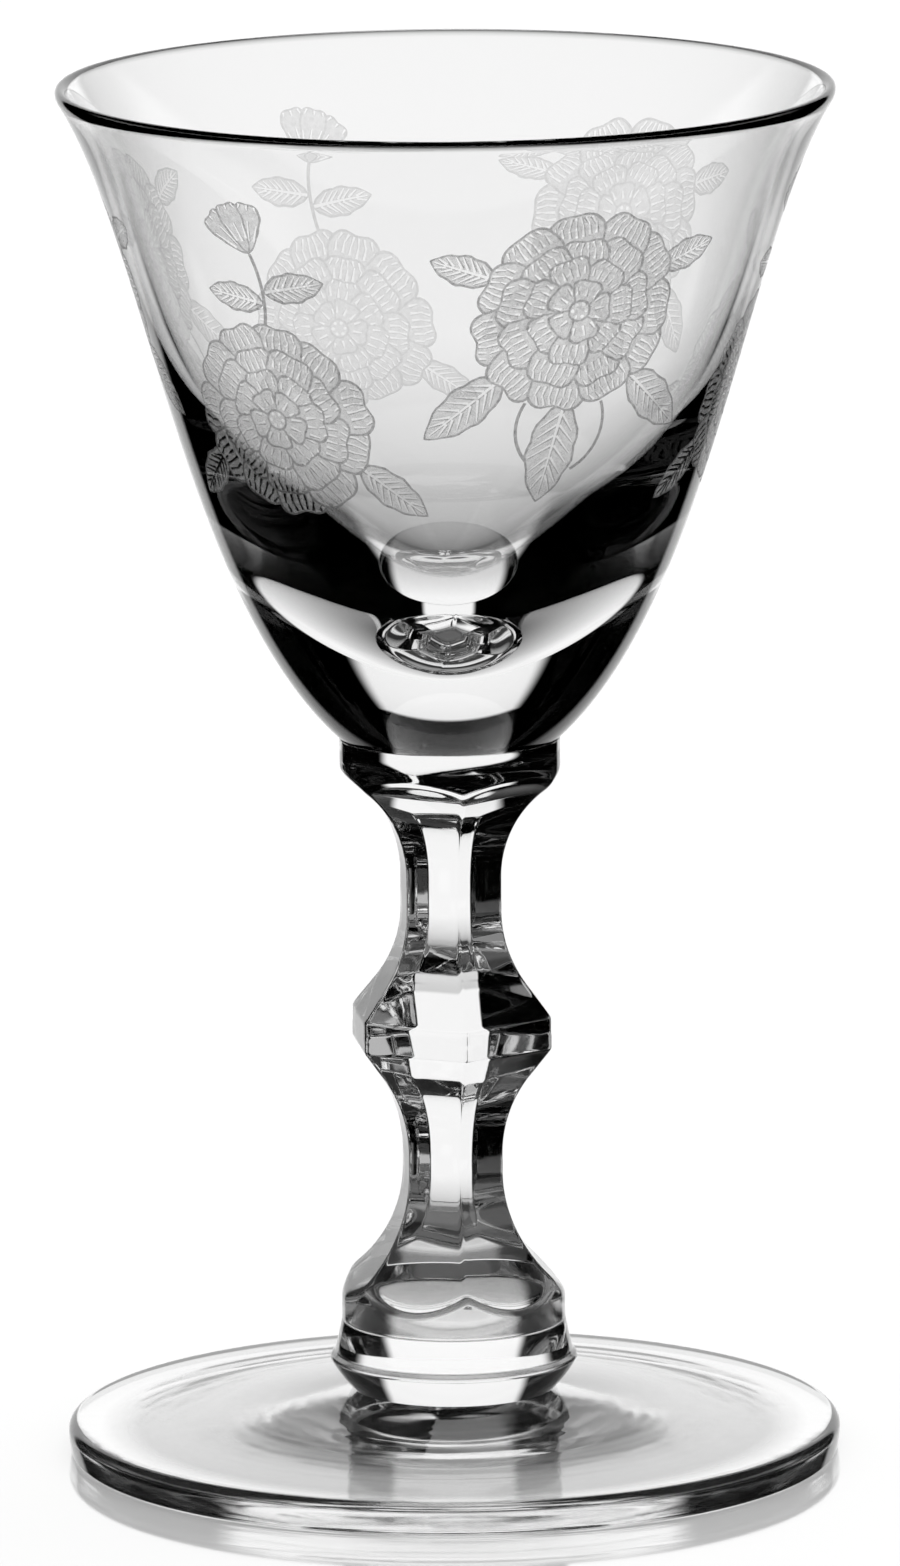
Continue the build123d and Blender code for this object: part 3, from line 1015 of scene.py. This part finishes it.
etching_and_painted_shade = make_etching()
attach(etching_and_painted_shade, "root")


# Stage: a white panel ahead, a white table that fades towards the glass, lit windows, and dark between

PANEL_HALF_ANGLE = math.radians(26.4)
PANEL_TAPER = 0.11
PANEL_SOFTNESS = 0.05
PANEL_TOP = math.sin(math.radians(39.5))
PANEL_TOP_SOFTNESS = 0.015
TABLE_DARKEST = math.sin(math.radians(-52))
TABLE_LIGHTEST = math.sin(math.radians(-14))
TABLE_FADE = 0.55
TABLE_NEAR_LIGHT = 0.03
# Windows that show the glass from its other sides: azimuth from and to, height from and to, light
WINDOWS = (
    (62, 103, -32, -13.5, 0.85),
    (122, 142, -32, -13.5, 0.5),
    (142, 160, -32, -13.5, 0.8),
    (160, 190, -32, -13.5, 0.5),
    (62, 190, -90, -30, 0.25),
    (78, 103, -15, 0, 0.85),
    (-10, 190, -90, -58, 0.85),
)
WINDOW_SIDE_SOFTNESS = math.radians(3)
WINDOW_BOTTOM_SOFTNESS = 0.03
WINDOW_TOP_SOFTNESS = 0.012
# What mirrored rays see: the same light ahead of the camera, and a lit band over the horizon elsewhere
MIRROR_BAND_BOTTOM = (0.15, 0.19)
MIRROR_BAND_TOP = (0.4, 0.34)
MIRROR_AHEAD = (0.4, 0.7)
ROOM_LIGHT = 0.8

FLOOR_SIZE = 3.0
FLOOR_DROP = 0.05 * MM
FLOOR_SHADE = 0.85
FLOOR_ROUGHNESS = 0.5
FLOOR_GLOW = 0.5
FLOOR_MIRROR = 0.65
FLOOR_MIRROR_SLANT = (0.45, 0.75)
FLOOR_SCUFF_SCALE = 60
FLOOR_SCUFF_DETAIL = 4
FLOOR_POLISH = (0.03, 0.1)

# A glowing sheet under the foot that only the glass shows: painted shadow of the stem and merese round
# its middle, painted light towards the back
GROUND_RADIUS = 27.5 * MM
GROUND_SIDES = 96
GROUND_DROP = 0.08 * MM
GROUND_FADE_FROM = 24.5 * MM
GROUND_PAINTED_SHADOW_SPAN = (9 * MM, 22 * MM)
GROUND_PAINTED_GLOW = (0.06, 0.42)
GROUND_PAINTED_BACK_LIGHT = 6
GROUND_PAINTED_SHADOW_COLOUR = 0.1
GROUND_ROUGHNESS = 0.8
GROUND_SEEN_DEPTH = 2.5

LAMP_POWER = 12
LAMP_SIZE = 1.2
LAMP_PLACE = Vector((0.3, 0.5, 1.6))
LAMP_AIM = Vector((0, 0, 0.05))

LIGHT_BOUNCES = 11
GLOSSY_BOUNCES = 9
TRANSPARENT_BOUNCES = 40


def window(tree, azimuth, z, span):
    """One inside a span of azimuth and height in degrees, and zero outside it."""
    left, right, low, high = (math.radians(v) for v in span)
    bottom = math.sin(low)
    top = math.sin(high)
    edges = (
        (azimuth, left - WINDOW_SIDE_SOFTNESS, left + WINDOW_SIDE_SOFTNESS),
        (azimuth, right + WINDOW_SIDE_SOFTNESS, right - WINDOW_SIDE_SOFTNESS),
        (z, bottom - WINDOW_BOTTOM_SOFTNESS, bottom),
        (z, top + WINDOW_TOP_SOFTNESS, top - WINDOW_TOP_SOFTNESS),
    )
    inside = 1.0
    for value, dark, lit in edges:
        inside = node_math(tree, "MULTIPLY", inside, smooth_step(tree, value, dark, lit))
    return inside


def weighed(tree, x, y, x_share, y_share):
    """The sum of x and y, each times its share."""
    return node_math(tree, "ADD", node_math(tree, "MULTIPLY", x, x_share),
                     node_math(tree, "MULTIPLY", y, y_share))


def make_world():
    """Light by direction, told apart for rays in glass, mirrored rays, plain rays and the camera's."""
    world = bpy.data.worlds.new("studio")
    bpy.context.scene.world = world
    world.use_nodes = True
    tree = world.node_tree
    coords = tree.nodes.new("ShaderNodeTexCoord")
    parts = tree.nodes.new("ShaderNodeSeparateXYZ")
    tree.links.new(coords.outputs["Generated"], parts.inputs[0])
    x, y, z = parts.outputs
    across = weighed(tree, x, y, math.cos(CAMERA_AZIMUTH), math.sin(CAMERA_AZIMUTH))
    ahead = weighed(tree, x, y, -math.sin(CAMERA_AZIMUTH), math.cos(CAMERA_AZIMUTH))
    azimuth = node_math(tree, "ABSOLUTE", node_math(tree, "ARCTAN2", across, ahead))

    spread = node_math(tree, "MULTIPLY_ADD", z, PANEL_TAPER, azimuth)
    beside = smooth_step(tree, spread,
                         PANEL_HALF_ANGLE - PANEL_SOFTNESS, PANEL_HALF_ANGLE + PANEL_SOFTNESS)
    above = smooth_step(tree, z, PANEL_TOP - PANEL_TOP_SOFTNESS, PANEL_TOP + PANEL_TOP_SOFTNESS)
    off_panel = node_math(tree, "MAXIMUM", beside, above)
    distance = map_range(tree, z, TABLE_DARKEST, TABLE_LIGHTEST)
    fade = node_math(tree, "POWER", distance, TABLE_FADE)
    fade = node_math(tree, "MAXIMUM", fade, TABLE_NEAR_LIGHT)
    around = blend_values(tree, off_panel, fade, 0.0)
    for *span, light in WINDOWS:
        lit = node_math(tree, "MULTIPLY", window(tree, azimuth, z, span), light)
        around = node_math(tree, "MAXIMUM", around, lit)

    band = node_math(tree, "MULTIPLY", smooth_step(tree, z, *MIRROR_BAND_BOTTOM),
                     smooth_step(tree, z, *MIRROR_BAND_TOP))
    mirrored = blend_values(tree, smooth_step(tree, ahead, *MIRROR_AHEAD), band, around)
    path = tree.nodes.new("ShaderNodeLightPath")
    plain = blend_values(tree, path.outputs["Is Glossy Ray"], ROOM_LIGHT, mirrored)
    glassy = blend_values(tree, path.outputs["Is Transmission Ray"], plain, around)
    seen = blend_values(tree, path.outputs["Is Camera Ray"], glassy, 1.0)
    background = tree.nodes["Background"]
    background.inputs["Color"].default_value = WHITE
    tree.links.new(seen, background.inputs["Strength"])


def flat_sheet(name, corners, material, drop):
    """A flat sheet of the stage, a little below the rest plane."""
    mesh = bpy.data.meshes.new(name)
    mesh.from_pydata([(x, y, 0) for x, y in corners], [], [tuple(range(len(corners)))])
    mesh.materials.append(material)
    sheet = new_object(name, mesh)
    sheet.location.z = -drop
    return sheet


def floor_material(name):
    """A glossy white sheet that mirrors part of what stands on it, more so at a slant."""
    material, tree, shader = new_material(name)
    shader.inputs["Base Color"].default_value = grey(FLOOR_SHADE)
    shader.inputs["Roughness"].default_value = FLOOR_ROUGHNESS
    shader.inputs["Specular IOR Level"].default_value = 0.0
    shader.inputs["Emission Color"].default_value = WHITE
    shader.inputs["Emission Strength"].default_value = FLOOR_GLOW
    scuff = noise(tree, FLOOR_SCUFF_SCALE, FLOOR_SCUFF_DETAIL)
    mirror = tree.nodes.new("ShaderNodeBsdfGlossy")
    tree.links.new(map_range(tree, scuff, 0, 1, *FLOOR_POLISH), mirror.inputs["Roughness"])
    slant = tree.nodes.new("ShaderNodeLayerWeight")
    share = map_range(tree, slant.outputs["Facing"], *FLOOR_MIRROR_SLANT, 0.0, FLOOR_MIRROR, smooth=True)
    show_mix(tree, share, shader, mirror)
    return material


def make_floor():
    h = FLOOR_SIZE
    corners = [(-h, -h), (h, -h), (h, h), (-h, h)]
    floor = flat_sheet("floor", corners, floor_material("white_acrylic"), FLOOR_DROP)
    floor.visible_transmission = False
    floor.visible_glossy = False


def painted_shadow_material(name):
    """Painted shadow: a glow that is dark under the stem, lighter outwards and painted lighter to the
    back, and gone at its edge.
    """
    material, tree, shader = new_material(name)
    shader.inputs["Base Color"].default_value = grey(GROUND_PAINTED_SHADOW_COLOUR)
    shader.inputs["Roughness"].default_value = GROUND_ROUGHNESS
    shader.inputs["Emission Color"].default_value = WHITE
    coords = tree.nodes.new("ShaderNodeTexCoord")
    length = tree.nodes.new("ShaderNodeVectorMath")
    length.operation = "LENGTH"
    tree.links.new(coords.outputs["Object"], length.inputs[0])
    distance = length.outputs["Value"]
    # Painted shadow, darkest under the stem and lighter outwards
    shade = map_range(tree, distance, *GROUND_PAINTED_SHADOW_SPAN, *GROUND_PAINTED_GLOW, smooth=True)
    place = tree.nodes.new("ShaderNodeSeparateXYZ")
    tree.links.new(coords.outputs["Object"], place.inputs[0])
    painted_back_light = node_math(tree, "MULTIPLY_ADD", place.outputs["Y"], GROUND_PAINTED_BACK_LIGHT, 1.0)
    path = tree.nodes.new("ShaderNodeLightPath")
    # The painted glow shows only to rays that crossed few glass faces; rays through more glass see the
    # sheet dark, a painted shade
    straight = node_math(tree, "LESS_THAN", path.outputs["Transmission Depth"], GROUND_SEEN_DEPTH)
    light = node_math(tree, "MULTIPLY", node_math(tree, "MULTIPLY", shade, painted_back_light), straight)
    tree.links.new(light, shader.inputs["Emission Strength"])
    cover = map_range(tree, distance, GROUND_RADIUS, GROUND_FADE_FROM)
    tree.links.new(cover, shader.inputs["Alpha"])
    return material


def make_painted_shadow_sheet():
    """A glowing patch of table under the foot with the stem's shadow painted on, which only the glass
    shows.
    """
    turns = [2 * math.pi * k / GROUND_SIDES for k in range(GROUND_SIDES)]
    rim = [(GROUND_RADIUS * math.cos(a), GROUND_RADIUS * math.sin(a)) for a in turns]
    painted_shadow_sheet = flat_sheet("painted_shadow_sheet", rim, painted_shadow_material("painted_shadow_table"), GROUND_DROP)
    painted_shadow_sheet.visible_camera = False
    painted_shadow_sheet.visible_shadow = False


def make_lamp():
    """A soft lamp overhead that the glass doesn't show."""
    data = bpy.data.lights.new("softbox", "AREA")
    data.energy = LAMP_POWER
    data.size = LAMP_SIZE
    lamp = new_object("softbox", data)
    lamp.location = LAMP_PLACE
    lamp.rotation_euler = (LAMP_AIM - LAMP_PLACE).to_track_quat("-Z", "Y").to_euler()
    lamp.visible_transmission = False
    lamp.visible_glossy = False


def make_camera():
    data = bpy.data.cameras.new("camera")
    data.sensor_width = SENSOR
    data.lens = SENSOR * FOCAL_PX / IMAGE_HEIGHT_PX
    camera = new_object("camera", data)
    away = Vector((math.sin(CAMERA_AZIMUTH), -math.cos(CAMERA_AZIMUTH), 0))
    camera.location = away * CAMERA_DISTANCE + Vector((0, 0, CAMERA_HEIGHT))
    turn = (Matrix.Rotation(CAMERA_AZIMUTH, 4, "Z")
            @ Matrix.Rotation(math.pi / 2 - CAMERA_PITCH, 4, "X")
            @ Matrix.Rotation(CAMERA_ROLL, 4, "Z"))
    camera.rotation_euler = turn.to_euler()
    bpy.context.scene.camera = camera


make_world()
make_floor()
make_painted_shadow_sheet()
make_lamp()
make_camera()

scene = bpy.context.scene
scene.view_settings.view_transform = "Standard"
scene.cycles.max_bounces = LIGHT_BOUNCES
scene.cycles.transmission_bounces = LIGHT_BOUNCES
scene.cycles.glossy_bounces = GLOSSY_BOUNCES
scene.cycles.transparent_max_bounces = TRANSPARENT_BOUNCES
